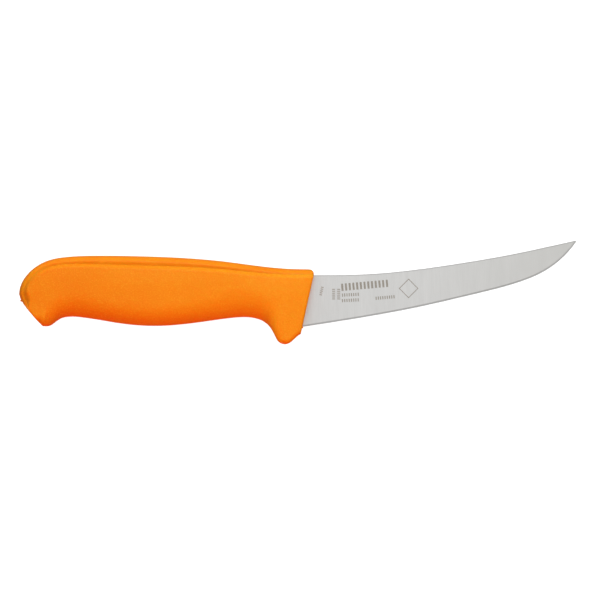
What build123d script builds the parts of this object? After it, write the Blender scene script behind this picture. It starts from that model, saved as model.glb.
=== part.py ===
from build123d import *
import os
from bisect import bisect
from math import atan2, cos, degrees, exp, pi, radians, sin, sqrt, tan

# Boning knife with a curved blade: one steel blade with a hidden tang, a hard handle core moulded
# round the tang, and a textured grip moulded over the core.
#
# Millimetres. The knife lies on its side: +X runs to the tip, +Y to the spine and the back of the
# handle, +Z is across the blade's thickness. It is drawn about the point where the blade's spine
# comes out of the handle, and moved at the end so that the origin is the middle of the surface it
# lies on.

# ---- Blade ----
STOCK = 2.0  # thickness of the steel
SPINE_Y = 0.65  # height of the straight part of the spine
SPINE_CURVE = [(4.0, SPINE_Y), (20.0, 0.85), (40.0, 2.3), (68.0, 6.1), (96.0, 11.05)]
TIP = (123.2, 17.0)
EDGE_CURVE = [(20.0, -19.6), (48.0, -14.45), (76.0, -8.0), (96.0, -2.6), (109.0, 3.2), (118.2, 10.7)]
HEEL_Y = -23.65  # where the cutting edge meets the handle
EDGE_CHORD = ((0.94, -22.64), (95.0, -2.92))  # straight line along the foot of the grind
EDGE_HALF = 0.2  # half the thickness at the foot of the grind
GRIND_RISE = 0.03  # half-thickness gained per millimetre above that line
TIP_GRIND = ((95.0, -2.92, 0.2), (118.2, 10.7, 0.2), (70.0, 6.5, 0.632))  # three points of the tip's flat
BEVEL_WIDTH = 0.8  # cutting bevel, measured up the flat
BEVEL_DEPTH = 0.13
BREAK_WIDTH = 0.5  # broken edge along the spine, measured down the flat
BREAK_DEPTH = 0.2
BEVEL_MARGIN = 0.6
BEVEL_SECTIONS = 24
TIP_RADIUS = 0.4
TIP_DIRECTION = (1.0, 0.21)  # the way the spine points at the tip

# ---- Tang, hidden in the handle ----
GRIND_RUNOUT = 4.0  # how far the grind goes on inside the handle
HIDDEN_X = -9.0  # the blade keeps its full height back to here
HEEL_SLOPE = 0.15
TANG_BOTTOM = [(-20.0, -14.6), (-58.0, -13.2), (-102.0, -9.6)]
TANG_TOP = [(-102.0, -1.2), (-55.0, 0.2), (-15.0, -0.9)]
TANG_CORNER = 3.5
ANCHOR_HOLES = [(-30.0, -7.2), (-58.0, -6.4), (-86.0, -5.8)]
ANCHOR_RADIUS = 3.0

# ---- Handle outline, seen from the side ----
FRONT_X = -0.5  # where the front face crosses Y = 0
FRONT_LEAN = 12.5  # degrees that the front face leans back
FRONT_TOP_Y = 3.4
FRONT_BOTTOM_Y = -26.9
FRONT_CORNER = 2.3  # radius of the corner between the back and the front face
BACK_CURVE = [
    (-12.0, 3.6),
    (-26.0, 4.9),
    (-42.0, 7.0),
    (-60.0, 8.6),
    (-82.0, 9.5),
    (-102.0, 9.75),
    (-116.0, 9.2),
    (-125.5, 7.3),
    (-132.0, 3.6),
    (-136.3, -1.2),
    (-138.4, -6.6),
]
BUTT_TOP = (-137.0, -11.9)  # the flat butt face runs from here ...
BUTT_BOTTOM = (-128.5, -21.9)  # ... to here
HOOK_CURVE = [(-127.2, -23.1), (-124.6, -23.25), (-121.6, -21.4), (-118.4, -19.5), (-114.0, -18.85)]
BELLY_CURVE = [
    (-102.0, -20.2),
    (-88.0, -22.4),
    (-75.0, -23.2),
    (-58.0, -22.0),
    (-42.0, -19.8),
    (-32.5, -19.05),
]
GUARD_CURVE = [(-27.0, -19.8), (-22.6, -22.0), (-19.4, -26.0), (-17.2, -30.1), (-14.2, -31.75)]
CHIN_CURVE = [(-11.6, -31.0), (-9.2, -29.0)]

# ---- Handle section ----
BAND_HALF = 7.3  # half-width of the rounded band along the back
BAND_HEIGHT = 3.0  # height of its rounding
GROOVE_DEPTH = 0.35  # the groove between band and grip
GROOVE_SPREAD = 0.7
SHOULDER_STEP = 1.5  # how much wider the grip's shoulder is than the band
SHOULDER_HEIGHT = 1.7
SIDE_RISE = 11.0  # distance below the groove over which the sides reach their full width
CHIN_ROUND = 2.2
CAP_ROUND = 1.2  # rounding along the edges of the front face and the butt face

# How these change along the handle: (X, value)
GROOVE_LEVEL = [(-137.0, 2.6), (-120.0, 3.3), (-90.0, 4.2), (-60.0, 4.1), (-30.0, 3.3), (0.0, 2.3)]
SIDE_HALF = [
    (-139.0, 9.5),
    (-122.0, 9.9),
    (-104.0, 9.9),
    (-76.0, 10.5),
    (-40.0, 9.7),
    (-20.0, 10.4),
    (0.0, 9.2),
]
LOWER_ROUND = [
    (-129.0, 4.5),
    (-122.0, 8.0),
    (-114.0, 11.5),
    (-95.0, 10.5),
    (-75.0, 10.0),
    (-52.0, 11.5),
    (-33.0, 14.0),
    (-27.0, 13.0),
    (-23.0, 9.5),
    (-20.0, 4.5),
    (-17.0, 3.0),
    (-14.0, 2.6),
]

# ---- Handle core ----
CORE_HALF = 6.0
CORE_CORNER = 3.0
CORE_FRONT_Y = -24.9  # foot of the core at the front face
CORE_KEEL = [
    (-124.0, -14.0),
    (-114.0, -14.4),
    (-98.0, -16.4),
    (-78.0, -18.0),
    (-58.0, -17.2),
    (-40.0, -15.9),
    (-26.0, -16.1),
    (-18.5, -18.4),
    (-13.5, -23.2),
    (-9.0, -25.1),
]
CORE_BUTT = (-129.5, -8.0)
TONGUE_TOP = 0.85  # the tongue reaches up into the band, to this share of the groove's distance
TONGUE_END = 0.88  # and ends at this share of the way along the back line
VALLEY_POINTS = 30
BAND_FADE = 4.0  # the band runs out over the first millimetres of the butt face
FLASH_RADIUS = 0.45  # bead of plastic under the blade's heel
FLASH_LENGTH = 2.4

# ---- Ribs, the sections that the handle's skin is drawn over ----
BUTT_FAN_X = -112.0  # behind this the ribs fan out to lie along the butt face
FRONT_FAN_X = -32.0  # in front of this they fan out to lie along the front face
BUTT_RIBS = 13
BODY_RIBS = 8
FRONT_RIBS = 20
RAY = 300.0  # longer than the handle
PAST_FRONT_X = 4.0  # the back line runs on past the front face, so that the groove does too
RIB_STEPS = 160
SHOULDER_REACH = 6.5  # how far below the back line a section is drawn with closer points
UPPER_POINTS = 24
LOWER_POINTS = 30


def smooth_between(stations, x):
    """The value at x of a smooth curve through (x, value) stations, level beyond its ends."""
    x = min(max(x, stations[0][0]), stations[-1][0])
    last = len(stations) - 1
    i = max(bisect([station[0] for station in stations], x) - 1, 0)
    i = min(i, last - 1)
    (x0, start), (x1, end) = stations[i], stations[i + 1]
    before, after = stations[max(i - 1, 0)], stations[min(i + 2, last)]
    width = x1 - x0
    start_slope = (end - before[1]) / (x1 - before[0]) * width
    end_slope = (after[1] - start) / (after[0] - x0) * width
    t = (x - x0) / width
    along = ease(t)
    bend = t * (1 - t)
    return start + (end - start) * along + bend * ((1 - t) * start_slope - t * end_slope)


def ease(t):
    """Rises smoothly from 0 to 1."""
    t = min(max(t, 0.0), 1.0)
    return t * t * (3 - 2 * t)


def quarter_round(t):
    """Rises from 0 to 1 as a quarter of a circle, then stays at 1."""
    t = min(max(t, 0.0), 1.0)
    return sqrt(1 - (1 - t) ** 2)


def front_point(y):
    """The point of the front face at height y."""
    return (FRONT_X + y * tan(radians(FRONT_LEAN)), y)


# ---------------------------------------------------------------- handle

def front_corner_arc():
    """The round corner at the top of the front face, from the back down to the face."""
    lean = radians(FRONT_LEAN)
    middle = Vector(*front_point(FRONT_TOP_Y - FRONT_CORNER)) - Vector(FRONT_CORNER / cos(lean), 0)
    forward = Vector(cos(lean), -sin(lean)) * FRONT_CORNER
    upward = Vector(0, FRONT_CORNER)
    halfway = (forward + upward).normalized() * FRONT_CORNER
    return Edge.make_three_point_arc(middle + upward, middle + halfway, middle + forward)


corner_line = front_corner_arc()
front_face = Edge.make_line(corner_line @ 1, front_point(FRONT_BOTTOM_Y))
butt_face = Edge.make_line(BUTT_TOP, BUTT_BOTTOM)
back_line = Edge.make_spline([(PAST_FRONT_X, FRONT_TOP_Y), corner_line @ 0] + BACK_CURVE + [BUTT_TOP])
belly_line = Edge.make_spline([BUTT_BOTTOM] + HOOK_CURVE + BELLY_CURVE + GUARD_CURVE)
chin_line = Edge.make_spline([GUARD_CURVE[-1]] + CHIN_CURVE + [front_face @ 1])


def half_width(point):
    """Half the handle's thickness at a point of its side view."""
    depth, nearest, _ = back_line.distance_to_with_closest_points(point)
    below_groove = depth - smooth_between(GROOVE_LEVEL, nearest.X)
    band = BAND_HALF * quarter_round(depth / BAND_HEIGHT)
    groove = GROOVE_DEPTH * exp(-((below_groove / GROOVE_SPREAD) ** 2))
    shoulder = SHOULDER_STEP * ease(below_groove / SHOULDER_HEIGHT)
    fullness = smooth_between(SIDE_HALF, point.X) - BAND_HALF - SHOULDER_STEP
    side = fullness * sin(pi / 2 * min(max(below_groove / SIDE_RISE, 0.0), 1.0))
    width = band - groove + shoulder + side
    height, nearest, _ = belly_line.distance_to_with_closest_points(point)
    width = round_off(width, height, smooth_between(LOWER_ROUND, nearest.X))
    width = round_off(width, chin_line.distance_to(point), CHIN_ROUND)
    for face in (butt_face, front_face, corner_line):
        width = round_off(width, face.distance_to(point), CAP_ROUND)
    return width


def round_off(width, height, rounding):
    """The half-width at this height above an outline whose corners have this rounding."""
    return width - min(width, rounding) * (1 - quarter_round(height / rounding))


def across(origin, angle):
    """The top and bottom of the rib that lies on the line through origin at this angle."""
    ray = Edge.make_line(origin, origin + Vector(RAY, 0).rotate(Axis.Z, angle))
    top = corner_line.intersect(ray) or back_line.intersect(ray)
    bottom = chin_line.intersect(ray) or belly_line.intersect(ray)
    return Vector(top[0]), Vector(bottom[0])


def ribs():
    """Top and bottom of each rib, from the butt face to the front face."""
    butt_run = butt_face @ 1 - butt_face @ 0
    butt_angle = degrees(atan2(-butt_run.Y, -butt_run.X))
    butt_pivot = butt_face @ 1 + butt_run * (BUTT_FAN_X - BUTT_BOTTOM[0]) / butt_run.X
    front_pivot = Vector(FRONT_FAN_X, (FRONT_FAN_X - FRONT_X) / tan(radians(FRONT_LEAN)))
    rows = [(butt_face @ 0, butt_face @ 1)]
    for k in range(1, BUTT_RIBS):
        rows.append(across(butt_pivot, 90 + (butt_angle - 90) * cos(pi / 2 * k / BUTT_RIBS)))
    for k in range(BODY_RIBS):
        x = BUTT_FAN_X + (FRONT_FAN_X - BUTT_FAN_X) * k / BODY_RIBS
        rows.append(across(Vector(x, front_pivot.Y), 90))
    for k in range(FRONT_RIBS):
        rows.append(across(front_pivot, 90 - FRONT_LEAN * sin(pi / 2 * k / FRONT_RIBS)))
    rows.append((front_face @ 0, front_face @ 1))
    return rows


def rib_points(top, bottom):
    """Points round one section, from the middle of the back, down one side and up the other."""
    outline = [top]
    for k in range(RIB_STEPS + 1):
        p = top + (bottom - top) * (1 - cos(pi * k / RIB_STEPS)) / 2
        outline.append(Vector(p.X, p.Y, half_width(p)))
    outline.append(bottom)
    below = [(p - top).cross(Vector(0, 0, 1)).length for p in outline]
    shoulder = next(k for k, distance in enumerate(below) if distance > SHOULDER_REACH)
    side = evenly(outline[: shoulder + 1], UPPER_POINTS) + evenly(outline[shoulder:], LOWER_POINTS)[1:]
    other_side = [Vector(p.X, p.Y, -p.Z) for p in side[-2:0:-1]]
    return side + other_side


def evenly(outline, count):
    """That many points evenly spaced along an outline, ends included."""
    marks = [0.0]
    for start, end in zip(outline, outline[1:]):
        marks.append(marks[-1] + (end - start).length)
    points = [outline[0]]
    for k in range(1, count - 1):
        at = marks[-1] * k / (count - 1)
        i = bisect(marks, at)
        share = (at - marks[i - 1]) / (marks[i] - marks[i - 1])
        points.append(outline[i - 1] + (outline[i] - outline[i - 1]) * share)
    return points + [outline[-1]]


def spacing(points):
    """How far round the section each point is, so that every rib's curve is cut alike."""
    marks = [0.0]
    for start, end in zip(points, points[1:] + points[:1]):
        marks.append(marks[-1] + (end - start).length)
    return [mark / marks[-1] for mark in marks]


def handle_skin():
    sections = [rib_points(top, bottom) for top, bottom in ribs()]
    marks = spacing(sections[len(sections) // 2])
    wires = [Wire([Edge.make_spline(points, periodic=True, parameters=marks)]) for points in sections]
    return Solid.make_loft(wires)


def below_back(share):
    """A line below the back line, at this share of the groove's distance."""
    points = []
    for k in range(VALLEY_POINTS + 1):
        point = back_line.position_at(k / VALLEY_POINTS)
        inward = back_line.tangent_at(k / VALLEY_POINTS).rotate(Axis.Z, 90)
        points.append(point + inward * share * smooth_between(GROOVE_LEVEL, point.X))
    return Edge.make_spline(points)


def closed_by(curve, rim):
    """The flat face between a curve and straight lines through the rim's points."""
    corners = [curve @ 1] + rim + [curve @ 0]
    return Face(Wire([curve] + [Edge.make_line(a, b) for a, b in zip(corners, corners[1:])]))


def band_space():
    """The space above the groove: the smooth band along the back and round the butt."""
    valley = below_back(1.0)
    down_butt = (butt_face @ 1 - butt_face @ 0).normalized()
    past_butt = butt_face @ 0 + down_butt * BAND_FADE + down_butt.rotate(Axis.Z, -90) * BAND_FADE
    rim = [past_butt, (-RAY, past_butt.Y), (-RAY, RAY), (RAY, RAY), (RAY, (valley @ 0).Y)]
    return extrude(closed_by(valley, rim), RAY, both=True)


def tongue_space():
    """The space of the core's tongue, which carries the tang and runs down inside the grip."""
    top = below_back(TONGUE_TOP)
    keel = Edge.make_spline([CORE_BUTT] + CORE_KEEL + [(PAST_FRONT_X, CORE_FRONT_Y)])
    trimmed = top.trim(0, TONGUE_END)
    edges = [trimmed, keel, Edge.make_line(trimmed @ 1, keel @ 0), Edge.make_line(keel @ 1, trimmed @ 0)]
    tongue = extrude(Face(Wire(edges)), CORE_HALF, both=True)
    curved = tongue.edges().filter_by(GeomType.BSPLINE)
    return fillet([e for e in curved if e.center().Y < CORE_BUTT[1]], CORE_CORNER)


def flash_bead():
    """The bead of plastic squeezed out under the blade's heel."""
    x, y = front_point(HEEL_Y - FLASH_RADIUS / 2)
    return Pos(x, y, 0) * Cylinder(FLASH_RADIUS, FLASH_LENGTH)


# ---------------------------------------------------------------- blade

heel = Vector(*front_point(HEEL_Y))
hidden_heel = Vector(HIDDEN_X, HEEL_Y + (HIDDEN_X - heel.X) * HEEL_SLOPE)
shoulder = Vector(HIDDEN_X, SPINE_Y)
cutting_edge = Edge.make_spline([hidden_heel, heel] + EDGE_CURVE + [TIP])
spine = Edge.make_spline([shoulder] + SPINE_CURVE + [TIP], tangents=[(1, 0), TIP_DIRECTION])


def blade_outline():
    """Side view of blade and tang: the spine to the tip, back along the edge, and round the tang."""
    forward, backward = (1, 0), (-1, 0)
    edges = [
        spine,
        cutting_edge,
        Edge.make_spline([hidden_heel, TANG_BOTTOM[0]], tangents=[(-1, -HEEL_SLOPE), backward]),
        Edge.make_spline(TANG_BOTTOM),
        Edge.make_line(TANG_BOTTOM[-1], TANG_TOP[0]),
        Edge.make_spline(TANG_TOP),
        Edge.make_spline([TANG_TOP[-1], shoulder], tangents=[forward, forward]),
    ]
    return Face(Wire(edges))


def round_corners(face, corners, radius):
    """Rounds the corners of a flat outline that are nearest to the given points."""
    found = [min(face.vertices(), key=lambda v: (Vector(v) - Vector(*p)).length) for p in corners]
    return fillet(found, radius).face()


def flat_half(x, y):
    """Half the thickness on the blade's main flat."""
    start, end = (Vector(*p) for p in EDGE_CHORD)
    run = (end - start).normalized()
    return EDGE_HALF + GRIND_RISE * (run.X * (y - start.Y) - run.Y * (x - start.X))


def tip_half(x, y):
    """Half the thickness on the thinner flat towards the tip."""
    (start, end, thick) = (Vector(*p) for p in TIP_GRIND)
    normal = (end - start).cross(thick - start)
    return start.Z - (normal.X * (x - start.X) + normal.Y * (y - start.Y)) / normal.Z


def beyond(a, b, c):
    """A large block on the plane through three points, on the side that its normal points to."""
    a, b, c = Vector(*a), Vector(*b), Vector(*c)
    surface = Plane(origin=a, x_dir=b - a, z_dir=(b - a).cross(c - a))
    return surface * Box(RAY * 2, RAY * 2, RAY, align=(Align.CENTER, Align.CENTER, Align.MIN))


def on_flat(x, y):
    return (x, y, flat_half(x, y))


def ground_away():
    """What grinding takes off one side: main flat, tip flat and a short run-out inside the handle."""
    low, high = front_point(HEEL_Y), front_point(SPINE_Y)
    ahead = beyond(low, (*low, -1), high)
    run_out = Pos(-GRIND_RUNOUT, 0, 0) * ahead
    flat = beyond(on_flat(*EDGE_CHORD[0]), on_flat(*EDGE_CHORD[1]), on_flat(0, 0))
    tip_flat = beyond(*TIP_GRIND)
    hidden = beyond(on_flat(*low), on_flat(*high), (low[0] - 1, low[1], flat_half(*low)))
    return (flat & ahead) + (tip_flat & ahead) + ((hidden & run_out) - ahead)


def local_half(point):
    """Half the blade's thickness at a point, on whichever flat is ground deeper there."""
    return min(flat_half(point.X, point.Y), tip_half(point.X, point.Y))


def bevel_section(point, inward, width, depth):
    """A slice across a bevel of one side of the blade: everything above the bevel's slope."""
    slope = (local_half(point + inward * width) - local_half(point) + depth) / width
    low = point - inward * BEVEL_MARGIN
    high = point + inward * (width + BEVEL_MARGIN)
    level = local_half(point) - depth
    return Wire.make_polygon([
        Vector(low.X, low.Y, level - slope * BEVEL_MARGIN),
        Vector(high.X, high.Y, level + slope * (width + BEVEL_MARGIN)),
        Vector(high.X, high.Y, STOCK),
        Vector(low.X, low.Y, STOCK),
    ])


def bevel(line, turn, width, depth):
    """What beveling takes off one side, all along an edge line of the blade and just past the tip."""
    sections = []
    for k in range(BEVEL_SECTIONS):
        at = k / (BEVEL_SECTIONS - 1)
        inward = line.tangent_at(at).rotate(Axis.Z, turn)
        sections.append(bevel_section(line.position_at(at), inward, width, depth))
    past_tip = line @ 1 + line % 1
    sections.append(bevel_section(past_tip, inward, width, depth))
    return Solid.make_loft(sections)


def blade():
    face = round_corners(blade_outline(), [TANG_BOTTOM[-1], TANG_TOP[0]], TANG_CORNER)
    face = round_corners(face, [TIP], TIP_RADIUS)
    steel = extrude(face, STOCK / 2, both=True)
    for x, y in ANCHOR_HOLES:
        steel -= Pos(x, y, 0) * Cylinder(ANCHOR_RADIUS, 2 * STOCK)
    sharpening = bevel(cutting_edge, 90, BEVEL_WIDTH, BEVEL_DEPTH)
    spine_break = bevel(spine, -90, BREAK_WIDTH, BREAK_DEPTH)
    for cut in (ground_away(), sharpening, spine_break):
        steel -= cut
        steel -= mirror(cut, about=Plane.XY)
    return steel


# ---------------------------------------------------------------- knife


def main():
    steel = blade()
    skin = handle_skin()
    core_space = band_space() + tongue_space()
    core = (skin & core_space) + flash_bead() - steel
    grip = skin - core_space
    extent = skin.bounding_box().add(steel.bounding_box())
    under_middle = Vector(extent.center().X, extent.center().Y, extent.min.Z)
    os.makedirs("parts", exist_ok=True)
    for name, solid in (("blade", steel), ("handle_core", core), ("handle_grip", grip)):
        export_step(Pos(-under_middle) * solid, f"parts/{name}.step")


main()
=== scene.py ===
import math

import bmesh
import bpy
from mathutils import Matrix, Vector


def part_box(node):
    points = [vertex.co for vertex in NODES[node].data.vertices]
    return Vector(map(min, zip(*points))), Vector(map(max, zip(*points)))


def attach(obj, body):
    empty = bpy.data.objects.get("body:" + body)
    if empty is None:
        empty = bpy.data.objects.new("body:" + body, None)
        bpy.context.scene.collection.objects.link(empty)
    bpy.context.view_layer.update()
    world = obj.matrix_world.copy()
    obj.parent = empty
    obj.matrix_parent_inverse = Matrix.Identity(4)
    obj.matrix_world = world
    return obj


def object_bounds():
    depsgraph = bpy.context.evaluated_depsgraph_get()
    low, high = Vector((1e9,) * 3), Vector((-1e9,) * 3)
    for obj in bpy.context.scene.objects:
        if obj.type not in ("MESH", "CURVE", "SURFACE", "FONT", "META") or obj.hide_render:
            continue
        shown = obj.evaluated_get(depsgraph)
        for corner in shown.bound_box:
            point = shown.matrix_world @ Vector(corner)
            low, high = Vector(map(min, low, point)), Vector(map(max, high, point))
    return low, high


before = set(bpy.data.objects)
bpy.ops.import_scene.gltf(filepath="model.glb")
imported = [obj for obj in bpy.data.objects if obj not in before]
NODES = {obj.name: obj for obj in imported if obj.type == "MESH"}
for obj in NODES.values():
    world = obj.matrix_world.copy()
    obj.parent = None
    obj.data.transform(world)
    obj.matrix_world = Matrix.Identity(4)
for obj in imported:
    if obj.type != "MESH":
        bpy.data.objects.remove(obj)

# The looks of a boning knife: satin steel blade with etched marks, smooth orange handle core and
# fine-grained orange grip, lying on its side on a pale floor.
#
# Metres, in the part's own frame: +X to the tip, +Y to the spine and the handle's back, +Z up.

CAD_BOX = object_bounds()
MM = 0.001

BLADE = NODES["blade"]
CORE = NODES["handle_core"]
GRIP = NODES["handle_grip"]

blade_low, blade_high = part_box("blade")
core_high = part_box("handle_core")[1]
grip_low, grip_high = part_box("handle_grip")
MIDDLE = (CAD_BOX[0] + CAD_BOX[1]) / 2
MID_PLANE_Z = (blade_low.z + blade_high.z) / 2  # half the blade's thickness lies each side of it

# ---------------------------------------------------------------- node helpers


class Shader:
    """One node-based material with a single Principled shader."""

    def __init__(self, name):
        self.material = bpy.data.materials.new(name)
        self.material.use_nodes = True
        self.tree = self.material.node_tree
        self.tree.nodes.clear()
        self.surface = self.tree.nodes.new("ShaderNodeBsdfPrincipled")
        output = self.tree.nodes.new("ShaderNodeOutputMaterial")
        self.tree.links.new(self.surface.outputs["BSDF"], output.inputs["Surface"])
        self.place = self.tree.nodes.new("ShaderNodeTexCoord").outputs["Object"]

    def feed(self, socket, value):
        """Sets a socket to a number or colour, or links another socket to it."""
        if isinstance(value, bpy.types.NodeSocket):
            self.tree.links.new(value, socket)
        else:
            socket.default_value = value

    def math(self, operation, a, b=0.0, clamp=False):
        node = self.tree.nodes.new("ShaderNodeMath")
        node.operation = operation
        node.use_clamp = clamp
        self.feed(node.inputs[0], a)
        self.feed(node.inputs[1], b)
        return node.outputs[0]

    def axes(self):
        node = self.tree.nodes.new("ShaderNodeSeparateXYZ")
        self.feed(node.inputs[0], self.place)
        return node.outputs

    def stretched(self, scale, turn=0.0):
        """The object's coordinates scaled along X, Y and Z, after a turn about Z."""
        node = self.tree.nodes.new("ShaderNodeMapping")
        node.inputs["Rotation"].default_value = (0, 0, turn)
        node.inputs["Scale"].default_value = scale
        self.feed(node.inputs["Vector"], self.place)
        return node.outputs[0]

    def noise(self, size, detail=2.0, rough=0.5, place=None):
        """Soft noise from 0 to 1 with features of this size in metres."""
        node = self.tree.nodes.new("ShaderNodeTexNoise")
        node.inputs["Scale"].default_value = 1 / size
        node.inputs["Detail"].default_value = detail
        node.inputs["Roughness"].default_value = rough
        self.feed(node.inputs["Vector"], place or self.place)
        return node.outputs["Fac"]

    def pits(self, size, random=1.0):
        """Round cells of this size in metres: 0 at each cell's middle."""
        node = self.tree.nodes.new("ShaderNodeTexVoronoi")
        node.inputs["Scale"].default_value = 1 / size
        node.inputs["Randomness"].default_value = random
        self.feed(node.inputs["Vector"], self.place)
        return node.outputs["Distance"]

    def span(self, value, low, high, out_low=0.0, out_high=1.0):
        """Maps low..high to out_low..out_high, and holds it there outside."""
        node = self.tree.nodes.new("ShaderNodeMapRange")
        for k, number in enumerate((low, high, out_low, out_high)):
            node.inputs[k + 1].default_value = number
        self.feed(node.inputs[0], value)
        return node.outputs[0]

    def mix(self, share, a, b):
        node = self.tree.nodes.new("ShaderNodeMix")
        node.data_type = "RGBA"
        self.feed(node.inputs["Factor"], share)
        for name, colour in (("A", a), ("B", b)):
            socket = next(s for s in node.inputs if s.name == name and s.type == "RGBA")
            self.feed(socket, colour if isinstance(colour, bpy.types.NodeSocket) else (*colour, 1.0))
        return next(s for s in node.outputs if s.type == "RGBA")

    def bump(self, height, depth, strength=1.0, under=None):
        """A bump whose height 0..1 stands for this depth in metres."""
        node = self.tree.nodes.new("ShaderNodeBump")
        node.inputs["Strength"].default_value = strength
        node.inputs["Distance"].default_value = depth
        self.feed(node.inputs["Height"], height)
        if under:
            self.feed(node.inputs["Normal"], under)
        return node.outputs[0]

    def finish(self, **sockets):
        for name, value in sockets.items():
            self.feed(self.surface.inputs[name.replace("_", " ")], value)
        return self.material


# ---------------------------------------------------------------- materials

ORANGE = (0.86, 0.262, 0.003)
ORANGE_DEEP = (0.83, 0.200, 0.001)
# ORANGE_PALE: pale specks of the core's grain, and the painted light at the grip's front
ORANGE_PALE = (0.93, 0.34, 0.006)
ORANGE_SPECK = (0.94, 0.38, 0.02)
CORE_ORANGE = (0.89, 0.225, 0.002)
CORE_PALE = (0.91, 0.26, 0.003)
STEEL = (0.80, 0.795, 0.78)
STEEL_DARK = (0.735, 0.73, 0.715)
# painted shade at the blade's tip
STEEL_TIP_PAINTED_SHADE = (0.685, 0.68, 0.655)
ETCH = (0.47, 0.42, 0.36)
ETCH_PALE = (0.55, 0.51, 0.45)

GRAIN = 0.6 * MM
FINE_GRAIN = 0.3 * MM
GRAIN_DEPTH = 0.12 * MM
PARTING_WIDTH = 0.12 * MM
PARTING_DEPTH = 0.04 * MM
PLASTIC = {  # what both mouldings share: a low shine, a warm sheen, and light that soaks in
    "Specular_IOR_Level": 0.1,
    "IOR": 1.49,
    "Sheen_Weight": 0.06,
    "Sheen_Roughness": 0.35,
    "Sheen_Tint": (1.0, 0.75, 0.45, 1.0),
    "Subsurface_Weight": 0.35,
    "Subsurface_Radius": (1.0, 0.18, 0.05),
    "Subsurface_Scale": 2.5 * MM,
}
GRIP_MOTTLE = 22 * MM
CORE_MOTTLE = 18 * MM
CORE_GRAIN_DEPTH = 0.012 * MM
FRONT_PAINTED_LIGHT = 0.55  # painted light: how much of the pale orange the grip takes on at its front

GRIND_LEAN = math.radians(6)  # the grinding lines lean from straight across the blade
GRIND_LINES = (5200.0, 90.0, 90.0)  # lines per metre across and along them
GRIND_STREAKS = (420.0, 22.0, 22.0)
GRIND_DEPTH = 0.004 * MM
STEEL_CLOUD = 35 * MM
TIP_PAINTED_SHADE_RUN = 60 * MM  # ahead of the middle, where the painted shade starts to darken the steel towards the tip
ETCH_GRAIN = 0.3 * MM
ETCH_DEPTH = 0.01 * MM


def parting_line(shader):
    """1 on the mould's parting line, at the middle of the handle's thickness, and 0 elsewhere."""
    away = shader.math("ABSOLUTE", shader.math("SUBTRACT", shader.axes()["Z"], MID_PLANE_Z))
    return shader.span(away, 0.0, PARTING_WIDTH, 1.0, 0.0)


def grip_plastic():
    """Orange moulded plastic with a fine sparkling grain, and painted light that makes it a little
    paler towards the front.
    """
    s = Shader("grip_orange")
    mottle = s.noise(GRIP_MOTTLE, 3.0)
    coarse = s.noise(GRAIN, 3.0, 0.6)
    cells = s.pits(FINE_GRAIN * 1.6)
    grain = s.math("ADD", s.math("MULTIPLY", coarse, 0.7), s.math("MULTIPLY", cells, 0.3))
    # painted light: the share in ahead grows from the grip's back to its front, where the colour
    # turns paler
    ahead = s.span(s.axes()["X"], grip_low.x, grip_high.x)
    base = s.mix(s.span(mottle, 0.3, 0.7, 0.0, 0.5), ORANGE_DEEP, ORANGE)
    base = s.mix(s.math("MULTIPLY", ahead, FRONT_PAINTED_LIGHT), base, ORANGE_PALE)
    colour = s.mix(s.span(coarse, 0.5, 0.74, 0.0, 0.7), base, ORANGE_SPECK)
    colour = s.mix(s.span(coarse, 0.3, 0.46, 0.5, 0.0), colour, ORANGE_DEEP)
    rough = s.span(coarse, 0.35, 0.66, 0.62, 0.42)
    under = s.bump(parting_line(s), PARTING_DEPTH)
    normal = s.bump(grain, GRAIN_DEPTH, 1.0, under)
    return s.finish(
        Base_Color=colour, Roughness=rough, Normal=normal,
        **PLASTIC,
    )


def core_plastic():
    s = Shader("core_orange")
    mottle = s.noise(CORE_MOTTLE, 3.0)
    fine = s.noise(FINE_GRAIN, 2.0, 0.5)
    flow = s.noise(1.0, 3.0, 0.6, s.stretched((60.0, 700.0, 700.0)))
    colour = s.mix(s.span(mottle, 0.3, 0.7), CORE_ORANGE, CORE_PALE)
    colour = s.mix(s.span(fine, 0.6, 0.8, 0.0, 0.5), colour, ORANGE_PALE)
    rough = s.span(flow, 0.3, 0.7, 0.38, 0.5)
    under = s.bump(parting_line(s), PARTING_DEPTH)
    normal = s.bump(fine, CORE_GRAIN_DEPTH, 1.0, under)
    return s.finish(
        Base_Color=colour, Roughness=rough, Normal=normal,
        **PLASTIC,
    )


def satin_steel():
    """Stainless steel, ground across the blade from spine to edge, with painted shade that makes it a
    little darker at the tip.
    """
    s = Shader("blade_steel")
    lines = s.noise(1.0, 4.0, 0.7, s.stretched(GRIND_LINES, GRIND_LEAN))
    broad = s.noise(1.0, 2.0, 0.5, s.stretched(GRIND_STREAKS, GRIND_LEAN))
    cloud = s.noise(STEEL_CLOUD, 2.0)
    tone = s.math("ADD", s.math("MULTIPLY", lines, 0.8), s.math("MULTIPLY", broad, 0.2))
    colour = s.mix(s.span(tone, 0.35, 0.65), STEEL_DARK, STEEL)
    colour = s.mix(s.span(cloud, 0.35, 0.65, 0.0, 0.25), colour, STEEL_DARK)
    # painted shade: the steel turns darker towards the tip
    tip_painted_shade = s.span(s.axes()["X"], MIDDLE.x + TIP_PAINTED_SHADE_RUN, blade_high.x, 0.0, 1.0)
    colour = s.mix(tip_painted_shade, colour, STEEL_TIP_PAINTED_SHADE)
    rough = s.span(tone, 0.3, 0.7, 0.42, 0.32)
    normal = s.bump(lines, GRIND_DEPTH)
    return s.finish(Base_Color=colour, Roughness=rough, Normal=normal, Metallic=1.0)


def etched_steel():
    s = Shader("blade_etch")
    grain = s.noise(ETCH_GRAIN, 2.0)
    colour = s.mix(s.span(grain, 0.35, 0.65), ETCH, ETCH_PALE)
    normal = s.bump(grain, ETCH_DEPTH)
    rough = s.span(grain, 0.3, 0.7, 0.6, 0.5)
    return s.finish(Base_Color=colour, Roughness=rough, Normal=normal, Metallic=0.85)


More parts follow.
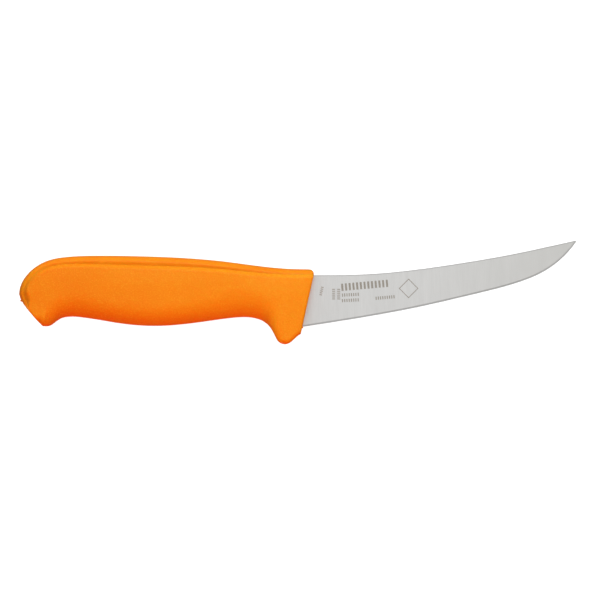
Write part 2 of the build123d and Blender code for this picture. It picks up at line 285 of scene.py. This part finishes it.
def repaint(node, material):
    for slot in node.material_slots:
        slot.material = material


repaint(GRIP, grip_plastic())
repaint(CORE, core_plastic())
repaint(BLADE, satin_steel())

# ---------------------------------------------------------------- etched marks

MARK_PROUD = 0.012 * MM
MARK_SUNK = 0.08 * MM
MARK_ORIGIN = Vector((core_high.x, blade_high.y, 0.0))  # the handle's front and the tip's height


def flat_plane():
    """A point on the blade's upper flat and the flat's normal."""
    start = Vector((MARK_ORIGIN.x + 40 * MM, 0.0, blade_high.z + 10 * MM))
    hit, point, normal, _ = BLADE.ray_cast(start, Vector((0, 0, -1)))
    if not hit:
        raise RuntimeError("the blade's flat isn't where the marks go")
    return point, normal


FLAT_POINT, FLAT_NORMAL = flat_plane()


def on_flat(x, y):
    """The point of the flat above x, y."""
    slope = (x - FLAT_POINT.x) * FLAT_NORMAL.x + (y - FLAT_POINT.y) * FLAT_NORMAL.y
    return Vector((x, y, FLAT_POINT.z - slope / FLAT_NORMAL.z))


def slab(mesh, corners):
    """A thin closed slab over a flat outline, just proud of the blade."""
    count = len(corners)
    top = [mesh.verts.new(on_flat(*c) + FLAT_NORMAL * MARK_PROUD) for c in corners]
    low = [mesh.verts.new(on_flat(*c) - FLAT_NORMAL * MARK_SUNK) for c in corners]
    mesh.faces.new(top)
    mesh.faces.new(low[::-1])
    for k in range(count):
        j = (k + 1) % count
        mesh.faces.new((top[j], top[k], low[k], low[j]))


def turned(x, y, angle):
    return x * math.cos(angle) - y * math.sin(angle), x * math.sin(angle) + y * math.cos(angle)


def tick_row(mesh, start, angle, length, height, pitch, width):
    """A row of equal upright ticks, that begins at start and runs at this angle."""
    for k in range(int(length / pitch)):
        left = k * pitch
        box = [(left, 0), (left + width, 0), (left + width, height), (left, height)]
        corners = []
        for x, y in box:
            dx, dy = turned(x, y, angle)
            corners.append((start[0] + dx, start[1] + dy))
        slab(mesh, corners)


def diamond(mesh, centre, radius, line):
    """An outlined square standing on its corner."""
    for k in range(4):
        a, b = math.radians(90 * k), math.radians(90 * (k + 1))
        corners = []
        for angle, reach in ((a, radius), (b, radius), (b, radius - line), (a, radius - line)):
            corners.append((centre[0] + reach * math.cos(angle), centre[1] + reach * math.sin(angle)))
        slab(mesh, corners)


# Rows of ticks: distance in front of the handle, distance below the tip's height, angle, length,
# height, pitch and tick width, all in millimetres and degrees.
TICK_ROWS = [
    (13.0, 23.6, 5.0, 24.0, 3.4, 1.75, 0.95),
    (13.2, 26.3, 3.0, 8.4, 1.5, 1.05, 0.5),
    (13.2, 28.9, 3.0, 8.4, 1.5, 1.05, 0.5),
    (29.0, 27.8, 5.0, 10.0, 1.5, 1.05, 0.5),
    (10.9, 22.6, -90.0, 5.4, 1.4, 0.9, 0.45),
    (8.5, 22.6, -90.0, 5.4, 1.4, 0.9, 0.45),
    (3.4, 21.5, -102.0, 5.2, 1.2, 0.9, 0.45),
]
DIAMOND = (44.4, 22.4, 4.6, 0.5)


def from_origin(ahead, below):
    return MARK_ORIGIN.x + ahead * MM, MARK_ORIGIN.y - below * MM


def etched_marks():
    mesh = bmesh.new()
    for ahead, below, angle, *sizes in TICK_ROWS:
        tick_row(mesh, from_origin(ahead, below), math.radians(angle), *[size * MM for size in sizes])
    diamond(mesh, from_origin(*DIAMOND[:2]), DIAMOND[2] * MM, DIAMOND[3] * MM)
    bmesh.ops.recalc_face_normals(mesh, faces=mesh.faces)
    data = bpy.data.meshes.new("blade_marks")
    mesh.to_mesh(data)
    mesh.free()
    data.materials.append(etched_steel())
    marks = bpy.data.objects.new("blade_marks", data)
    bpy.context.scene.collection.objects.link(marks)
    return marks


MARKS = etched_marks()
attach(MARKS, "root")

# ---------------------------------------------------------------- stage

FLOOR_HALF = 12.0
PALE = (0.93, 0.93, 0.93, 1.0)
WHITE = (1.0, 1.0, 1.0)
WARM = (1.0, 0.12, 0.01)
KEY_POWER = 9.0
BOUNCE_POWER = 5.5
FLOOR_SUN = 3.0
SUN_SPREAD = math.radians(20)
DOME_UP = (-0.05, 0.69, 0.72)  # the dome's axis: overhead, leaning to the back of the handle
DOME_LEVELS = [(0.42, 0.10), (0.62, 0.27), (0.86, 1.08), (0.97, 0.6)]  # 0 is opposite the axis


def floor():
    data = bpy.data.meshes.new("floor")
    signs = ((-1, -1), (1, -1), (1, 1), (-1, 1))
    corners = [(x * FLOOR_HALF, y * FLOOR_HALF, CAD_BOX[0].z) for x, y in signs]
    data.from_pydata(corners, [], [(0, 1, 2, 3)])
    plane = bpy.data.objects.new("floor", data)
    bpy.context.scene.collection.objects.link(plane)
    s = Shader("floor_pale")
    data.materials.append(s.finish(Base_Color=PALE, Roughness=0.9, Specular_IOR_Level=0.1))
    plane.visible_diffuse = False
    plane.visible_glossy = False
    return plane


def area_light(name, place, size, power, colour, only):
    """A soft light aimed at the knife's middle, which reaches only the objects listed."""
    data = bpy.data.lights.new(name, "AREA")
    data.shape = "RECTANGLE"
    data.size, data.size_y = size
    data.energy = power
    data.color = colour
    light = bpy.data.objects.new(name, data)
    light.location = MIDDLE + Vector(place)
    light.rotation_euler = (MIDDLE - light.location).to_track_quat("-Z", "Y").to_euler()
    bpy.context.scene.collection.objects.link(light)
    group = bpy.data.collections.new(name + "_on")
    for lit in only:
        group.objects.link(lit)
    light.light_linking.receiver_collection = group


def floor_sun():
    """Even light on the floor alone, which nothing shades."""
    data = bpy.data.lights.new("floor_sun", "SUN")
    data.energy = FLOOR_SUN
    data.angle = SUN_SPREAD
    light = bpy.data.objects.new("floor_sun", data)
    bpy.context.scene.collection.objects.link(light)
    lit = bpy.data.collections.new("floor_sun_on")
    lit.objects.link(FLOOR)
    light.light_linking.receiver_collection = lit
    light.light_linking.blocker_collection = bpy.data.collections.new("floor_sun_blockers")
    light.light_linking.blocker_collection.objects.link(FLOOR)


def dome():
    """A soft studio dome: brightest in a ring round its axis, dim low down in front of the edge."""
    world = bpy.data.worlds.new("studio")
    world.use_nodes = True
    bpy.context.scene.world = world
    tree = world.node_tree
    tree.nodes.clear()
    place = tree.nodes.new("ShaderNodeTexCoord")
    lean = tree.nodes.new("ShaderNodeVectorMath")
    lean.operation = "DOT_PRODUCT"
    lean.inputs[1].default_value = DOME_UP
    tree.links.new(place.outputs["Generated"], lean.inputs[0])
    ramp = tree.nodes.new("ShaderNodeValToRGB")
    ramp.color_ramp.interpolation = "EASE"
    shift = tree.nodes.new("ShaderNodeMapRange")
    shift.inputs["From Min"].default_value = -1.0
    tree.links.new(lean.outputs["Value"], shift.inputs[0])
    tree.links.new(shift.outputs[0], ramp.inputs[0])
    elements = ramp.color_ramp.elements
    for k, (at, level) in enumerate(DOME_LEVELS):
        element = elements[k] if k < 2 else elements.new(at)
        element.position = at
        element.color = (level, level, level, 1.0)
    rays = tree.nodes.new("ShaderNodeLightPath")
    seen = tree.nodes.new("ShaderNodeMix")
    seen.data_type = "RGBA"
    tree.links.new(rays.outputs["Is Camera Ray"], seen.inputs["Factor"])
    colours = [s for s in seen.inputs if s.type == "RGBA"]
    tree.links.new(ramp.outputs["Color"], colours[0])
    colours[1].default_value = PALE
    back = tree.nodes.new("ShaderNodeBackground")
    tree.links.new(next(s for s in seen.outputs if s.type == "RGBA"), back.inputs["Color"])
    output = tree.nodes.new("ShaderNodeOutputWorld")
    tree.links.new(back.outputs[0], output.inputs["Surface"])


FLOOR = floor()
dome()
area_light("key", (0.1, 0.9, 0.9), (0.9, 0.5), KEY_POWER, WHITE, only=(CORE, GRIP))
floor_sun()
area_light("warm_bounce", (-0.05, -0.7, 0.12), (0.8, 0.5), BOUNCE_POWER, WARM, only=(GRIP, CORE))

# ---------------------------------------------------------------- camera

VIEW_WIDTH = 281.4 * MM  # what the picture spans at the knife's middle plane
VIEW_CENTRE = Vector((1.1 * MM, -3.56 * MM, 0.0))
LENS = 200.0
SENSOR = 36.0


def camera():
    data = bpy.data.cameras.new("camera")
    data.lens = LENS
    data.sensor_width = SENSOR
    data.clip_start, data.clip_end = 0.01, 100.0
    eye = bpy.data.objects.new("camera", data)
    distance = VIEW_WIDTH * LENS / SENSOR
    eye.location = (MIDDLE.x + VIEW_CENTRE.x, MIDDLE.y + VIEW_CENTRE.y, MID_PLANE_Z + distance)
    bpy.context.scene.collection.objects.link(eye)
    bpy.context.scene.camera = eye


camera()

settings = bpy.context.scene.view_settings
settings.view_transform = "Standard"
settings.look = "None"
